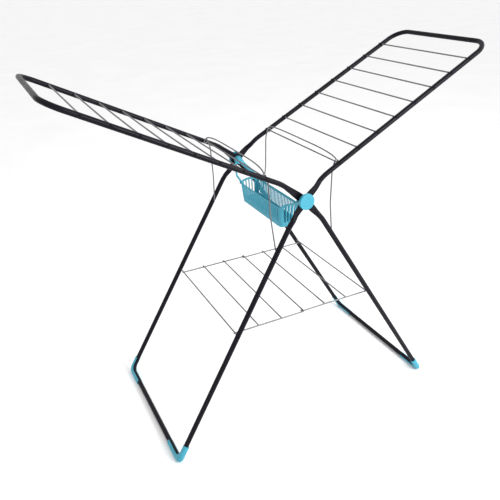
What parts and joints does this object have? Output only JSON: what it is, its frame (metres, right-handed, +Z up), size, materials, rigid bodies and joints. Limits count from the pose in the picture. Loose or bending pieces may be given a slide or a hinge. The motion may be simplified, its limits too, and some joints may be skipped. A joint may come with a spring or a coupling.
{
  "type": "clothes drying rack",
  "caption": "Folding floor clothes airer: crossed tube legs, two raised wings of wire rails, a folding wire shelf and a hanging peg basket.",
  "frame": {"origin": "centre of the footprint, on the floor", "axes": "+X across both wings, +Y along the hub axis, +Z up"},
  "size_m": [1.3526, 0.542, 1.1494],
  "materials": {
    "tube_paint": "satin near-black powder coat",
    "rail_wire": "drawn wire, dull grey",
    "blue_plastic": "moulded turquoise plastic",
    "bolt_steel": "zinc plated"
  },
  "bodies": {
    "left_leg": {"leg_frame_left": "tube_paint", "foot_cap_far_left": "blue_plastic", "foot_cap_near_left": "blue_plastic", "hub_outer_cap_far": "blue_plastic", "hub_inner_cap_far": "blue_plastic", "hub_bolt_far": "bolt_steel", "hub_nut_far": "bolt_steel", "hub_washer_far": "bolt_steel", "hub_outer_cap_near": "blue_plastic", "hub_inner_cap_near": "blue_plastic", "hub_bolt_near": "bolt_steel", "hub_nut_near": "bolt_steel", "hub_washer_near": "bolt_steel"},
    "right_leg": {"leg_frame_right": "tube_paint", "foot_cap_far_right": "blue_plastic", "foot_cap_near_right": "blue_plastic"},
    "left_wing": {"wing_frame_left": "tube_paint", "wing_rail_left_1": "rail_wire", "wing_rail_left_2": "rail_wire", "wing_rail_left_3": "rail_wire", "wing_rail_left_4": "rail_wire", "wing_rail_left_5": "rail_wire", "wing_rail_left_6": "rail_wire", "wing_rail_left_7": "rail_wire", "wing_rail_left_8": "rail_wire"},
    "right_wing": {"wing_frame_right": "tube_paint", "wing_rail_right_1": "rail_wire", "wing_rail_right_2": "rail_wire", "wing_rail_right_3": "rail_wire", "wing_rail_right_4": "rail_wire", "wing_rail_right_5": "rail_wire", "wing_rail_right_6": "rail_wire", "wing_rail_right_7": "rail_wire", "wing_rail_right_8": "rail_wire"},
    "left_strut": {"wing_strut_left": "rail_wire"},
    "right_strut": {"wing_strut_right": "rail_wire"},
    "left_shelf": {"shelf_half_left": "rail_wire"},
    "right_shelf": {"shelf_half_right": "rail_wire"},
    "basket": {"basket_body": "blue_plastic", "basket_hanger_far": "blue_plastic", "basket_hanger_near": "blue_plastic"}
  },
  "joints": [
    {"name": "leg_fold", "type": "hinge", "parent": "left_leg", "child": "right_leg", "pos_m": [0, 0, 0.771], "axis": [0, 1, 0], "range_deg": [0, 56]},
    {"name": "left_wing_fold", "type": "hinge", "parent": "left_leg", "child": "left_wing", "pos_m": [0, 0, 0.771], "axis": [0, -1, 0], "range_deg": [0, 86]},
    {"name": "right_wing_fold", "type": "hinge", "parent": "right_leg", "child": "right_wing", "pos_m": [0, 0, 0.771], "axis": [0, 1, 0], "range_deg": [0, 86]},
    {"name": "left_strut_turn", "type": "hinge", "parent": "left_wing", "child": "left_strut", "pos_m": [-0.11954, 0, 0.86056], "axis": [0, 1, 0], "range_deg": [-1, 118.41]},
    {"name": "right_strut_turn", "type": "hinge", "parent": "right_wing", "child": "right_strut", "pos_m": [0.11954, 0, 0.86056], "axis": [0, -1, 0], "range_deg": [-1, 118.41]},
    {"name": "left_shelf_lift", "type": "hinge", "parent": "left_leg", "child": "left_shelf", "pos_m": [-0.24349, 0, 0.391], "axis": [0, -1, 0], "range_deg": [-1, 54]},
    {"name": "right_shelf_lift", "type": "hinge", "parent": "right_leg", "child": "right_shelf", "pos_m": [0.24349, 0, 0.391], "axis": [0, 1, 0], "range_deg": [-1, 54]},
    {"name": "basket_swing", "type": "hinge", "parent": "left_leg", "child": "basket", "pos_m": [0, 0, 0.771], "axis": [0, 1, 0], "range_deg": [-20, 20]}
  ],
  "couplings": [
    {"joint": "left_strut_turn", "follows": "left_wing_fold", "ratio": 1.3652},
    {"joint": "right_strut_turn", "follows": "right_wing_fold", "ratio": 1.3652},
    {"joint": "left_shelf_lift", "follows": "leg_fold", "ratio": 0.9464},
    {"joint": "right_shelf_lift", "follows": "leg_fold", "ratio": 0.9464}
  ]
}
